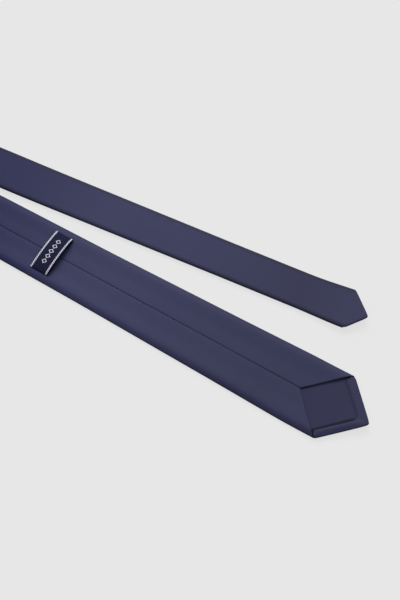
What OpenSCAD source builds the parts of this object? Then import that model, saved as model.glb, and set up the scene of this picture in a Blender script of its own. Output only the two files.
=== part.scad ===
// Necktie, folded once at the neck and laid flat.
// The wide half lies face down with its tip towards +X. At the neck the tie turns over itself, and the
// narrow half comes back over it, face up, and fans out to the +Y side until it lies beside the wide half.
// The X axis halves the angle between the two halves. z = 0 is the table. Units are millimetres.

/* [Wide blade] */
// Width at the shoulders of the wide tip
wide_w = 75; // [70:1:80]
// Length from the neck fold to the wide tip
wide_len = 757; // [745:1:775]

/* [Narrow blade] */
// Width at the shoulders of the narrow tip
narrow_w = 44; // [40:1:48]
// Length from the neck fold to the narrow tip
narrow_len = 709; // [700:1:720]

/* [Neck] */
// Width of the tie where it turns over
neck_w = 37; // [34:1:40]
// Outside radius of the turn
fold_r = 8; // [7.5:0.5:10]
// Half the angle between the halves at the turn
fold_fan = 7; // [6.5:0.1:7.5]
// Half the angle between the halves once they run straight
tip_fan = 3; // [2.5:0.1:3.5]
// Length over which each half straightens
bend_len = 315; // [280:5:340]
// Length over which the narrow half comes down to the table
land_len = 380; // [360:5:400]

/* [Cloth] */
// Thickness of the folded tie
thickness = 3.6; // [3.4:0.1:4]
// Thickness of the outer cloth
cloth = 0.45; // [0.4:0.05:0.5]
// Thickness of the interlining
interlining = 1.4; // [1.2:0.1:1.5]
// Thickness of the tipping
tipping = 0.3; // [0.2:0.05:0.35]
// Depth of the cloth turned in along the tips, measured along the tie
hem = 12; // [10:1:14]
// Height that each tip curls up
tip_curl = 4; // [2:0.5:5]
// Length of the curl at each tip
curl_len = 70; // [60:5:90]

/* [Keeper loop] */
// Distance from the wide tip to the middle of the loop
keeper_from_tip = 353; // [300:1:380]
// Outside width of the loop across the blade
keeper_w = 48; // [46:1:52]
// Width of the band along the blade
keeper_band = 20.5; // [18:0.5:24]
// Clear height under the band
keeper_gap = 4.6; // [4.4:0.1:5]
// Thickness of the band
keeper_cloth = 0.6; // [0.4:0.1:0.8]
// Length of each end of the band that is turned under and sewn down
keeper_tab = 10; // [7:1:12]

/* [Hidden] */

WIDE = 0;
NARROW = 1;
navy = "#3b3d5c";
lining_navy = "#35374f";
felt = "#d9d3c4";
label_navy = "#1d1d38";
thread_navy = "#2b2c47";

// Widths of each half, as [distance from the tip, width]
wide_widths = [
    [0, wide_w], [75, wide_w], [150, wide_w - 4], [300, wide_w - 10.5],
    [440, wide_w - 14], [600, wide_w - 25], [wide_len, neck_w]
];
narrow_widths = [
    [0, narrow_w], [22, narrow_w], [60, narrow_w - 3.5], [150, narrow_w - 3.5],
    [390, narrow_w - 1], [540, narrow_w - 3], [narrow_len, neck_w]
];

edge_r = thickness / 2;        // radius of the rolled side edges
seam_gap = 0.5;                // gap between the two flaps along the back
thread_d = 0.3;                // thickness of every sewing thread
loose = 0.15;                  // clearance between layers
hinge_turn = 45;               // angle round the turn from each half to its hinge
hinge_cut = 2;                 // angle left free on each side of a hinge
proud = 0.2;                   // how far the stitches stand out of the cloth
wide_seam_at = 75;             // bias seam on the wide half, from the fold
narrow_seam_at = 240;          // bias seam on the narrow half, from the fold
tipping_depth = 130;           // from each tip to the inner edge of its tipping
hair = 0.05;                   // the least clearance between two pieces that are sewn together
tack_from_flap = 9;            // from the point of the flaps to the bar tack
tack_w = 1.2;                  // width of a bar tack along the tie
tack_across = 7;               // width of a bar tack across the flaps
stitch_start = 2;              // from the fold to the first of the slip stitch
end_stitch_in = 2;             // from the inner end of each turned-under end to its stitches
end_stitch_short = 2;          // from each edge of the band to its end stitches
past = 1;                      // how far a cutting shape runs past what it cuts
seam_half_gap = 0.25;          // from a bias seam's thread to the cloth on either side
interlining_n = cloth + loose; // height of the interlining above the face
tipping_n = interlining_n + interlining + loose;
hem_n = tipping_n + cloth;     // height of the hem's outer side above the face
fold_drift = turn_len(90) * tan(fold_fan);
turn_rows = [for (k = [3 : -1 : 1]) -turn_len(hinge_turn - hinge_cut) * k / 3];
shift = [(fold_r - wide_len) / 2, (top_reach(WIDE) - top_reach(NARROW)) / 2, 0];

function side(half) = half == WIDE ? -1 : 1;
function tip_at(half) = half == WIDE ? wide_len : narrow_len;
function tip_w(half) = half == WIDE ? wide_w : narrow_w;
function half_width(half, d) = lookup(tip_at(half) - d, half == WIDE ? wide_widths : narrow_widths) / 2;
function ease(u) = u >= 1 ? 1 : u * u * (3 - 2 * u);

// Sideways place and heading of a half's centre line, d from the fold
function heading(d) = atan(d >= bend_len ? tan(tip_fan)
    : tan(fold_fan) + (tan(tip_fan) - tan(fold_fan)) * d / bend_len);
function drift(d) = fold_drift + (d >= bend_len
    ? (tan(fold_fan) + tan(tip_fan)) * bend_len / 2 + tan(tip_fan) * (d - bend_len)
    : (tan(fold_fan) + tan(heading(d))) * d / 2);
function top_reach(half) = let (d = tip_at(half) - tip_w(half) / 2)
    drift(d) + tip_w(half) / 2 * cos(tip_fan);

// Height of the curled tips, and of the narrow half's underside
function curl(half, d) = tip_curl * pow(max(0, 1 - (tip_at(half) - d) / curl_len), 2);
function rise(d) = proud + (2 * fold_r - thickness - proud) * (1 - ease(d / land_len));

// A point of a half: d from the turn, v across, n from the face towards the back. Below 0, d runs on
// round the turn.
function place(half, d, v, n) = d <= 0
    ? place_turn(90 + side(half) * (90 + d / turn_len(1)), v, n)
    : shift + [
        d - side(half) * v * sin(heading(d)),
        side(half) * drift(d) + v * cos(heading(d)),
        curl(half, d) + (half == WIDE ? n : rise(d) + thickness - n)
    ];
// Length of the outer cloth over an angle of the turn
function turn_len(angle) = fold_r * angle * PI / 180;
// A point of the turn: angle round it from the wide half, v across, n from the face towards the back
function place_turn(turn, v, n) = shift + [
    -(fold_r - n) * sin(turn),
    fold_drift * (turn / 90 - 1) + v / cos(fold_fan),
    fold_r - (fold_r - n) * cos(turn)
];

// One side of the folded cloth's section, from the face's edge to the seam on the back. Each column is
// [v, n, inward v, inward n, distance from the middle of the face over the flattened cloth].
function folded_side(h) = [
    for (v = [h - hem, h - edge_r]) [v, 0, 0, 1, v],
    for (q = [45 : 45 : 135])
        [
            h - edge_r + edge_r * sin(q), edge_r - edge_r * cos(q),
            -sin(q), cos(q), h - edge_r + edge_r * q / 90
        ],
    [h - edge_r, thickness, 0, -1, h + edge_r],
    [seam_gap / 2, thickness, 0, -1, 2 * h - seam_gap / 2]
];
function mirrored(cols) = [
    for (i = [len(cols) - 1 : -1 : 0]) let (c = cols[i]) [-c[0], c[1], -c[2], c[3], -c[4]]
];
function folded_section(h) = concat(mirrored(folded_side(h)), [[0, 0, 0, 1, 0]], folded_side(h));
// A flat layer inside the tie, n above the face and short of each side edge by inset
function flat_section(h, n, inset) = [for (v = [inset - h, hem - h, 0, h - hem, h - inset]) [v, n, 0, 1, v]];
// Depth of the turned-in cloth, v across from the middle of the tip
function hem_depth(half, v) = min(hem, tip_w(half) / 2 - abs(v) + cloth);

// Rows get closer together towards 1
function rows(count, power) = [for (i = [0 : count]) 1 - pow(1 - i / count, power)];
function mix(a, b, u) = a + (b - a) * u;

// Skins rings of equal length. Point i of a ring pairs with point len - 1 - i, so the ends close as strips.
module skin(rings) {
    m = len(rings[0]);
    last = (len(rings) - 1) * m;
    walls = [for (j = [0 : len(rings) - 2], i = [0 : m - 1]) let (a = j * m + i, b = j * m + (i + 1) % m)
        each [[a, b + m, b], [a, a + m, b + m]]];
    ends = [for (i = [0 : m / 2 - 2]) let (a = i, b = i + 1, c = m - 2 - i, d = m - 1 - i)
        each [[a, b, c], [a, c, d], [last + a, last + c, last + b], [last + a, last + d, last + c]]];
    polyhedron(points = [for (r = rings) each r], faces = concat(walls, ends));
}

// A layer of cloth on one half. starts and ends give each column's first and last distance from the turn,
// and lead the distances of the rows before them.
module layer(half, sections, starts, ends, steps, deep, lead = []) {
    skin([for (j = [0 : len(starts) - 1]) let (
            ds = concat(lead, [for (u = steps) mix(starts[j], ends[j], u)]),
            at = [for (d = ds) sections(half_width(half, d))[j]]
        ) concat(
            [for (i = [0 : len(ds) - 1]) place(half, ds[i], at[i][0], at[i][1])],
            [for (i = [len(ds) - 1 : -1 : 0])
                place(half, ds[i], at[i][0] + at[i][2] * deep, at[i][1] + at[i][3] * deep)]
        )]);
}

// The outer cloth of a blade: folded round both sides, pointed at its tip and turned in along the point
module blade_shell(half, seam_at, slant, steps) {
    seam_cols = folded_section(half_width(half, seam_at));
    tip_cols = folded_section(tip_w(half) / 2);
    skin([for (j = [0 : len(tip_cols) - 1]) let (
            face = tip_cols[j][3] == 1,
            start = seam_at + slant * seam_cols[j][4] + seam_half_gap,
            end = tip_at(half) - abs(tip_cols[j][4]),
            turn_n = face ? hem_n : 2 * cloth + loose,
            turn_d = face ? hem_depth(half, tip_cols[j][0]) : 2 * cloth,
            spot = function (d, off) let (c = folded_section(half_width(half, d))[j])
                place(half, d, c[0] + c[2] * off, c[1] + c[3] * off)
        ) concat(
            [for (u = steps) spot(mix(start, end, u), 0)],
            [
                spot(end, turn_n), spot(end - turn_d, turn_n),
                spot(end - turn_d, turn_n - cloth), spot(end - cloth, turn_n - cloth),
                spot(end - cloth, cloth)
            ],
            [for (i = [len(steps) - 2 : -1 : 0]) spot(mix(start, end, steps[i]), cloth)]
        )]);
}

// The outer cloth of the neck on one half, from its hinge to the bias seam
module neck_shell(half, seam_at, slant, count) {
    cols = folded_section(half_width(half, seam_at));
    layer(half, function (h) folded_section(h), [for (c = cols) 0],
        [for (c = cols) seam_at + slant * c[4] - seam_half_gap], rows(count, 1), cloth, turn_rows);
}

module wide_blade_shell() { color(navy) blade_shell(WIDE, wide_seam_at, 1, rows(36, 1.5)); }
module narrow_blade_shell() { color(navy) blade_shell(NARROW, narrow_seam_at, -1, rows(32, 1.3)); }
module neck_shell_wide_side() { color(navy) neck_shell(WIDE, wide_seam_at, 1, 5); }
module neck_shell_narrow_side() { color(navy) neck_shell(NARROW, narrow_seam_at, -1, 12); }

// The part of a layer that lies between the two hinges
module turned(cols, deep) {
    turns = [for (k = [-1 : 0.25 : 1]) 90 + k * (90 - hinge_turn - hinge_cut)];
    skin([for (c = cols) concat(
        [for (q = turns) place_turn(q, c[0], c[1])],
        [for (i = [len(turns) - 1 : -1 : 0]) place_turn(turns[i], c[0] + c[2] * deep, c[1] + c[3] * deep)]
    )]);
}
module neck_shell_fold() { color(navy) turned(folded_section(neck_w / 2), cloth); }
module interlining_fold() {
    color(felt) turned(flat_section(neck_w / 2, interlining_n, edge_r), interlining);
}

// The interlining fills a half, and is pointed like the cloth round it
module interlining_half(half, steps) {
    h = tip_w(half) / 2;
    cols = flat_section(h, interlining_n, edge_r);
    color(felt) layer(half, function (h) flat_section(h, interlining_n, edge_r), [for (c = cols) 0],
        [for (c = cols) tip_at(half) - abs(c[4]) - 2 * cloth], steps, interlining, turn_rows);
}
module interlining_wide() { interlining_half(WIDE, rows(44, 1.5)); }
module interlining_narrow() { interlining_half(NARROW, rows(44, 1.3)); }

// The tipping lines the inside of a tip, up to the turned-in cloth
module tipping_half(half) {
    inset = edge_r - loose;
    cols = flat_section(tip_w(half) / 2, tipping_n, inset);
    color(lining_navy) layer(half, function (h) flat_section(h, tipping_n, inset),
        [for (c = cols) tip_at(half) - tipping_depth],
        [for (c = cols) tip_at(half) - abs(c[4]) - hem_depth(half, c[4]) - thread_d - loose],
        rows(16, 1.2), tipping);
}
module wide_tipping() { tipping_half(WIDE); }
module narrow_tipping() { tipping_half(NARROW); }

// The seam between the tipping and the turned-in cloth
module tipping_thread(half) {
    cols = flat_section(tip_w(half) / 2, tipping_n, edge_r);
    color(thread_navy) layer(half, function (h) flat_section(h, tipping_n, edge_r),
        [for (c = cols) tip_at(half) - abs(c[4]) - hem_depth(half, c[4]) - thread_d],
        [for (c = cols) tip_at(half) - abs(c[4]) - hem_depth(half, c[4]) - loose], [0, 1], thread_d);
}
module wide_tipping_thread() { tipping_thread(WIDE); }
module narrow_tipping_thread() { tipping_thread(NARROW); }

// The long hand stitch that closes the back, in the gap between the flaps
module slip_stitch(half, count) {
    stitch = [for (k = [-1, 1]) [k * thread_d / 2, thickness - thread_d - loose, 0, 1, 0]];
    color(thread_navy) layer(half, function (h) stitch, [stitch_start, stitch_start],
        [for (k = stitch) tip_at(half) - tip_w(half) - tack_from_flap - tack_w], rows(count, 1), thread_d);
}
module wide_slip_stitch() { slip_stitch(WIDE, 20); }
module narrow_slip_stitch() { slip_stitch(NARROW, 30); }

// A bar tack ties the two flaps together above their point: a bar across them, and a stem in the gap
module bar_tack(half) {
    d = tip_at(half) - tip_w(half) - tack_from_flap;
    bar = [tack_w, tack_across, proud];
    stem = [tack_w, seam_gap - 2 * loose, proud + cloth];
    color(thread_navy) translate(shift + [d, side(half) * drift(d), curl(half, d) - side(half) * hair])
        rotate(side(half) * tip_fan) for (box = [bar, stem])
            translate([-box[0] / 2, -box[1] / 2, half == WIDE ? thickness + proud - box[2] : 0]) cube(box);
}
module wide_bar_tack() { bar_tack(WIDE); }
module narrow_bar_tack() { bar_tack(NARROW); }

// The thread in each bias seam, all the way round the folded cloth
module bias_seam_thread(half, seam_at, slant) {
    cols = folded_section(half_width(half, seam_at));
    inset = (cloth - thread_d) / 2;
    color(thread_navy) skin([for (j = [0 : len(cols) - 1]) let (
            d = seam_at + slant * cols[j][4],
            at = folded_section(half_width(half, d))[j],
            spot = function (e, off) place(half, d + e, at[0] + at[2] * off, at[1] + at[3] * off)
        ) [
            spot(-thread_d / 3, inset), spot(thread_d / 3, inset),
            spot(thread_d / 3, inset + thread_d), spot(-thread_d / 3, inset + thread_d)
        ]]);
}
module wide_bias_seam_thread() { bias_seam_thread(WIDE, wide_seam_at, 1); }
module narrow_bias_seam_thread() { bias_seam_thread(NARROW, narrow_seam_at, -1); }

// Puts a section drawn as [across, up] on the wide blade's back, extruded along the blade
module on_wide_back(long) {
    d = wide_len - keeper_from_tip;
    translate(shift) translate([d, -drift(d), thickness]) rotate(-tip_fan) rotate([90, 0, 90])
        translate([0, 0, -long / 2]) linear_extrude(long) children();
}

// A flat band's outline with round ends, standing on the X axis
module round_ended(w, tall) {
    translate([-w / 2 + tall / 2, 0]) square([w - tall, tall]);
    for (k = [-1, 1]) translate([k * (w - tall) / 2, tall / 2]) circle(d = tall, $fn = 48);
}

// The loop that keeps the narrow blade: a woven band with both ends turned under
module keeper_loop() {
    tall = keeper_gap + 2 * keeper_cloth;
    clear_w = keeper_w - 2 * keeper_tab;
    color(label_navy) on_wide_back(keeper_band) difference() {
        round_ended(keeper_w, tall);
        translate([0, keeper_cloth]) round_ended(keeper_w - 2 * keeper_cloth, keeper_gap);
        translate([-clear_w / 2, -past]) square([clear_w, keeper_cloth + 2 * past]);
    }
}

// A row of stitches holds down each turned-under end
module keeper_stitches() {
    out = keeper_w / 2 - keeper_tab + end_stitch_in;
    color(thread_navy) on_wide_back(keeper_band - 2 * end_stitch_short)
        for (k = [-1, 1]) translate([k * out - thread_d, keeper_cloth]) square([2 * thread_d, proud]);
}

wide_blade_shell();
neck_shell_wide_side();
neck_shell_fold();
neck_shell_narrow_side();
narrow_blade_shell();
interlining_wide();
interlining_fold();
interlining_narrow();
wide_tipping();
narrow_tipping();
wide_tipping_thread();
narrow_tipping_thread();
keeper_loop();
keeper_stitches();
wide_slip_stitch();
narrow_slip_stitch();
wide_bar_tack();
narrow_bar_tack();
wide_bias_seam_thread();
narrow_bias_seam_thread();
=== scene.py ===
"""A navy necktie, folded once at its neck and laid flat on a pale table."""
import logging
import math
from dataclasses import dataclass
from enum import Enum
from typing import Callable, Sequence

import bpy
import numpy as np
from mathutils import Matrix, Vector


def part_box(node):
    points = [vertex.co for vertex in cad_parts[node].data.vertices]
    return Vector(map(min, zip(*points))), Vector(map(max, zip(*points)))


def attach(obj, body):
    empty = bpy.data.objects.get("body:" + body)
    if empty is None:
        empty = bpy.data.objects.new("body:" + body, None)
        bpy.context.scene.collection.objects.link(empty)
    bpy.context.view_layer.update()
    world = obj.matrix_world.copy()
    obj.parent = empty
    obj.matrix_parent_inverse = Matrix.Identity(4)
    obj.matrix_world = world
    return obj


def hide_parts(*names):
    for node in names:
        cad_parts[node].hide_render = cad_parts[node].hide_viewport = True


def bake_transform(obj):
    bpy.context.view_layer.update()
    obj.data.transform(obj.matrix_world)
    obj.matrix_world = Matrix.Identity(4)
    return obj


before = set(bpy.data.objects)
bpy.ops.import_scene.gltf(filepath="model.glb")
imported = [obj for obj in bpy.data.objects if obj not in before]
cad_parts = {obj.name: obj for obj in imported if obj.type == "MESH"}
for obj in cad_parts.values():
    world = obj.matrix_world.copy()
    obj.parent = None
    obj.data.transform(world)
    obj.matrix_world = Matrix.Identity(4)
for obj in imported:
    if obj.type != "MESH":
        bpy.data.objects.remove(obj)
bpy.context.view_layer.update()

LOG = logging.getLogger("necktie")
MM = 0.001
EDGE_ANGLE = 55.0  # degrees; a sharper edge isn't shaded smooth
NEARLY_UP = (0.01, 0.01, 1.0)  # never quite along a thread, whichever way the thread runs
SHEEN_ROUGHNESS = 0.45
Array = np.ndarray
Colour = tuple[float, float, float]
Taper = tuple[tuple[float, float], ...]


# ---------------------------------------------------------------- layout of the tie


class Half(Enum):
    """The two halves of the tie; the value is the side of the X axis that the half lies on."""

    WIDE = -1
    NARROW = 1


def ease(u: Array) -> Array:
    """Smooth step from 0 to 1."""
    u = np.clip(u, 0.0, 1.0)
    return u * u * (3 - 2 * u)


@dataclass(frozen=True)
class TieLayout:
    """Sizes of the tie in millimetres, and the way its cloth is laid on the table.

    A point of a half is given by d, its distance from the turn at the neck, v, its distance across from
    the centre line, and n, its height above the tie's face. Where d is negative, it runs on round the turn.

    Attributes:
        wide_w: Width at the shoulders of the wide tip.
        wide_len: Length of the wide half, from the turn to its tip.
        wide_taper: How much narrower than its shoulders the wide half is, at distances from its tip.
        narrow_w: Width at the shoulders of the narrow tip.
        narrow_len: Length of the narrow half.
        narrow_taper: The narrow half's taper.
        taper_samples: Number of places at which a taper is smoothed.
        taper_passes: How often it is smoothed.
        neck_w: Width at the turn.
        fold_r: Radius of the turn, out to the tie's face.
        fold_fan: Degrees that a half heads away from the X axis at the turn.
        tip_fan: Degrees that it heads away from it towards the tip.
        bend_len: Length over which the heading changes.
        land_len: Distance from the turn at which the narrow half has come down.
        square_len: Length over which the rows come square to the heading.
        thickness: Thickness of the folded tie.
        cloth: Thickness of the outer cloth.
        tip_curl: How far a tip curls up.
        curl_len: Length of the curl.
        proud: Height of the narrow half over the table.
        wide_seam_at: Distance of the wide half's bias seam from the turn.
        narrow_seam_at: Distance of the narrow half's bias seam from the turn.
        seam_half_gap: Half the gap between two cloths at a bias seam.
    """

    wide_w: float = 75.0
    wide_len: float = 757.0
    wide_taper: Taper = ((0, 0), (75, 0), (150, 4), (300, 10.5), (440, 14), (600, 25))
    narrow_w: float = 44.0
    narrow_len: float = 709.0
    narrow_taper: Taper = ((0, 0), (22, 0), (60, 3.5), (150, 3.5), (390, 1), (540, 3))
    taper_samples: int = 160
    taper_passes: int = 6
    neck_w: float = 37.0
    fold_r: float = 8.0
    fold_fan: float = 7.0
    tip_fan: float = 3.0
    bend_len: float = 315.0
    land_len: float = 380.0
    square_len: float = 40.0
    thickness: float = 3.6
    cloth: float = 0.45
    tip_curl: float = 4.0
    curl_len: float = 70.0
    proud: float = 0.2
    wide_seam_at: float = 75.0
    narrow_seam_at: float = 240.0
    seam_half_gap: float = 0.15

    def tip_at(self, half: Half) -> float:
        """Distance from the turn to a half's tip."""
        return self.wide_len if half is Half.WIDE else self.narrow_len

    def tip_width(self, half: Half) -> float:
        """Width at the shoulders of a half's tip."""
        return self.wide_w if half is Half.WIDE else self.narrow_w

    def seam_at(self, half: Half) -> float:
        """Distance from the turn to a half's bias seam."""
        return self.wide_seam_at if half is Half.WIDE else self.narrow_seam_at

    def half_width(self, half: Half, d: Array) -> Array:
        """Half the width of the tie.

        Args:
            half: The half of the tie.
            d: Distances from the turn.

        Returns:
            Half the width at each distance.
        """
        w, tip = self.tip_width(half), self.tip_at(half)
        taper = self.wide_taper if half is Half.WIDE else self.narrow_taper
        behind_tip = [behind for behind, _ in taper] + [tip]
        width = [w - less for _, less in taper] + [self.neck_w]
        fine = np.linspace(0, tip, self.taper_samples)
        smooth = np.interp(fine, behind_tip, width)
        for _ in range(self.taper_passes):
            smooth[1:-1] = (smooth[:-2] + 2 * smooth[1:-1] + smooth[2:]) / 4
        return np.interp(tip - np.asarray(d, float), fine, smooth) / 2

    @property
    def slopes(self) -> tuple[float, float]:
        """Sideways slope of a half's centre line at the turn, and towards the tip."""
        return math.tan(math.radians(self.fold_fan)), math.tan(math.radians(self.tip_fan))

    def slope(self, d: Array) -> Array:
        """Sideways slope of a half's centre line, d from the turn."""
        start, end = self.slopes
        return start + (end - start) * np.clip(d / self.bend_len, 0, 1)

    def drift(self, d: Array) -> Array:
        """How far a half's centre line lies from the X axis.

        Args:
            d: Distances from the turn.

        Returns:
            The sideways place at each distance, always positive.
        """
        start, end = self.slopes
        bent = np.clip(d, 0, self.bend_len)
        along = (start + self.slope(bent)) * bent / 2
        return self.fold_drift + along + end * np.maximum(0, d - self.bend_len)

    @property
    def fold_drift(self) -> float:
        """Sideways way of the centre line over a quarter of the turn."""
        return self.fold_r * math.pi / 2 * self.slopes[0]

    @property
    def crest(self) -> float:
        """Distance of the turn's crest, round the turn from its foot; negative, as everything round it."""
        return -self.fold_r * math.pi / 2

    @property
    def shift(self) -> Array:
        """Place of the turn's foot in the frame, taken from the CAD nodes."""
        tip_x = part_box("wide_blade_shell")[1].x / MM
        low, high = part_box("neck_shell_fold")
        return np.array([tip_x - self.wide_len, (low.y + high.y) / 2 / MM, 0.0])

    def place(self, half: Half, d: Array, v: Array, n: Array) -> Array:
        """Lays points of a half on the table.

        Args:
            half: The half of the tie.
            d: Distances from the turn, negative round the turn.
            v: Distances across, positive to +Y.
            n: Heights above the face, towards the back.

        Returns:
            Points in the frame, in millimetres, with a last axis of 3.
        """
        d, v, n = np.broadcast_arrays(*(np.asarray(a, float) for a in (d, v, n)))
        side, flat = half.value, np.maximum(d, 0)
        heading = np.arctan(self.slope(flat))
        squared = ease(flat / self.square_len)
        skew = math.cos(math.radians(self.fold_fan))
        across = np.cos(heading) * squared + (1 - squared) / skew
        curl = self.tip_curl * np.maximum(0, 1 - (self.tip_at(half) - flat) / self.curl_len) ** 2
        above = 2 * self.fold_r - self.thickness - self.proud
        rise = self.proud + above * (1 - ease(flat / self.land_len))
        height = n if half is Half.WIDE else rise + self.thickness - n
        laid = np.stack(
            [
                flat - side * v * np.sin(heading) * squared,
                side * self.drift(flat) + v * across,
                curl + height,
            ],
            -1,
        )
        turn = np.radians(90 + side * 90) + side * np.minimum(d, 0) / self.fold_r
        turned = np.stack(
            [
                -(self.fold_r - n) * np.sin(turn),
                self.fold_drift * (turn * 2 / math.pi - 1) + v / skew,
                self.fold_r - (self.fold_r - n) * np.cos(turn),
            ],
            -1,
        )
        return np.where((d > 0)[..., None], laid, turned) + self.shift


# ---------------------------------------------------------------- mesh helpers


def make_object(
    name: str,
    points: Array,
    faces: Sequence[Sequence[int]],
    uvs: Array | None = None,
    crease: Array | None = None,
) -> bpy.types.Object:
    """Makes a smooth mesh object from points in millimetres.

    Args:
        name: The piece's name.
        points: Points in the frame, in millimetres.
        faces: Point numbers of each face.
        uvs: Flat cloth coordinates of each point, in metres.
        crease: Strength of the painted shade at each point, strongest in creases, from 0 to 1.

    Returns:
        The new object, linked into the scene.
    """
    mesh = bpy.data.meshes.new(name)
    mesh.from_pydata((np.asarray(points) * MM).tolist(), [], [list(f) for f in faces])
    if uvs is not None:
        layer = mesh.uv_layers.new(name="UVMap")
        order = np.array([loop.vertex_index for loop in mesh.loops])
        layer.data.foreach_set("uv", np.asarray(uvs)[order].astype(np.float32).ravel())
    # the crease attribute holds painted shade, by which the cloth materials darken their colour
    if crease is not None:
        depths = mesh.attributes.new("crease", "FLOAT", "POINT")
        depths.data.foreach_set("value", np.asarray(crease, np.float32).ravel())
    mesh.polygons.foreach_set("use_smooth", [True] * len(mesh.polygons))
    piece = bpy.data.objects.new(name, mesh)
    bpy.context.scene.collection.objects.link(piece)
    return piece


def grid_faces(
    rows: int, cols: int, closed: bool = False, flip: bool = False, first: int = 0
) -> list[list[int]]:
    """Faces of a grid of points, row by row.

    Args:
        rows: Number of rows.
        cols: Number of points in each row.
        closed: Whether each row closes on itself.
        flip: Whether to turn the faces over.
        first: Number of the first point.

    Returns:
        Quads as lists of point numbers.
    """
    faces = []
    for i in range(rows - 1):
        for j in range(cols if closed else cols - 1):
            a, b = first + i * cols + j, first + i * cols + (j + 1) % cols
            quad = [a, b, b + cols, a + cols]
            faces.append(quad[::-1] if flip else quad)
    return faces


def freeze(piece: bpy.types.Object) -> bpy.types.Object:
    """Applies a piece's modifiers, so that its mesh is final.

    Args:
        piece: The piece.

    Returns:
        The same piece, with no modifier left.
    """
    graph = bpy.context.evaluated_depsgraph_get()
    graph.update()
    final = bpy.data.meshes.new_from_object(piece.evaluated_get(graph))
    piece.modifiers.clear()
    piece.data = final
    return piece


def thicken(piece: bpy.types.Object, thickness: float) -> bpy.types.Object:
    """Gives a sheet its thickness, inwards from its outer side.

    Args:
        piece: A mesh whose normals point out.
        thickness: Thickness in millimetres.

    Returns:
        The same piece, with a final mesh.
    """
    solid = piece.modifiers.new("cloth", "SOLIDIFY")
    solid.thickness = thickness * MM
    solid.offset = -1
    solid.use_even_offset = False
    freeze(piece)
    piece.data.set_sharp_from_angle(angle=math.radians(EDGE_ANGLE))
    return piece


def tube(path: Array, radius: float, sides: int = 6) -> tuple[Array, list[list[int]]]:
    """Sweeps a thread along a path.

    Args:
        path: Points of the thread's middle, in millimetres.
        radius: Radius of the thread in millimetres.
        sides: Number of sides.

    Returns:
        The tube's points and its faces.
    """
    path = np.asarray(path, float)
    way = np.gradient(path, axis=0)
    way /= np.linalg.norm(way, axis=1, keepdims=True)
    side = np.cross(way, NEARLY_UP)
    side /= np.linalg.norm(side, axis=1, keepdims=True)
    over = np.cross(side, way)
    angles = np.arange(sides) * 2 * math.pi / sides
    ring = np.cos(angles)[None, :, None] * side[:, None] + np.sin(angles)[None, :, None] * over[:, None]
    points = (path[:, None] + radius * ring).reshape(-1, 3)
    faces = grid_faces(len(path), sides, closed=True)
    last = (len(path) - 1) * sides
    faces.append(list(range(sides))[::-1])
    faces.append([last + k for k in range(sides)])
    return points, faces


def join_tubes(name: str, tubes: Sequence[tuple[Array, list[list[int]]]]) -> bpy.types.Object:
    """Joins several threads into one piece.

    Args:
        name: The piece's name.
        tubes: Points and faces of each thread.

    Returns:
        One object that holds them all.
    """
    points, faces, count = [], [], 0
    for part, part_faces in tubes:
        points.append(part)
        faces += [[count + k for k in face] for face in part_faces]
        count += len(part)
    stacked = np.concatenate(points)
    return make_object(name, stacked, faces, stacked[:, :2] * MM)


# ---------------------------------------------------------------- node helpers and shared effects


class Graph:
    """A thin helper that adds nodes to a node tree and links them."""

    def __init__(self, tree: bpy.types.NodeTree) -> None:
        """Keeps the tree that the nodes go into."""
        self.tree = tree

    def node(
        self, kind: str, inputs: dict[str | int, object] | None = None, **settings: object
    ) -> bpy.types.Node:
        """Adds a node.

        Args:
            kind: Blender's name of the node type.
            inputs: Values or output sockets for its inputs.
            settings: Settings of the node itself.

        Returns:
            The new node.
        """
        made = self.tree.nodes.new(kind)
        for key, value in settings.items():
            setattr(made, key, value)
        for key, value in (inputs or {}).items():
            if isinstance(value, bpy.types.NodeSocket):
                self.tree.links.new(value, made.inputs[key])
            else:
                made.inputs[key].default_value = value
        return made

    def link(self, output: bpy.types.NodeSocket, node: bpy.types.Node, name: str) -> None:
        """Links an output to a node's named input."""
        self.tree.links.new(output, node.inputs[name])

    def math(self, operation: str, a: object, b: object = 0.0, c: object = 0.0) -> bpy.types.NodeSocket:
        """A Math node's output."""
        return self.node("ShaderNodeMath", {0: a, 1: b, 2: c}, operation=operation).outputs[0]

    def mix(self, factor: object, a: object, b: object, blend: str = "MIX") -> bpy.types.NodeSocket:
        """A colour Mix node's output."""
        node = self.node("ShaderNodeMix", {0: factor, 6: a, 7: b}, data_type="RGBA", blend_type=blend)
        return node.outputs[2]


Fill = Callable[[Graph, bpy.types.Node, bpy.types.Node], None]


def shared_group(
    name: str, inputs: dict[str, tuple[str, object]], outputs: dict[str, str], fill: Fill
) -> bpy.types.NodeTree:
    """Gets a node group, and builds it the first time.

    Args:
        name: The group's name.
        inputs: Socket type and default of each input.
        outputs: Socket type of each output.
        fill: Adds the nodes between the group's input and output nodes.

    Returns:
        The node group.
    """
    if name in bpy.data.node_groups:
        return bpy.data.node_groups[name]
    tree = bpy.data.node_groups.new(name, "ShaderNodeTree")
    for key, (kind, default) in inputs.items():
        socket = tree.interface.new_socket(name=key, in_out="INPUT", socket_type=kind)
        socket.default_value = default
    for key, kind in outputs.items():
        tree.interface.new_socket(name=key, in_out="OUTPUT", socket_type=kind)
    graph = Graph(tree)
    fill(graph, graph.node("NodeGroupInput"), graph.node("NodeGroupOutput"))
    return tree


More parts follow.
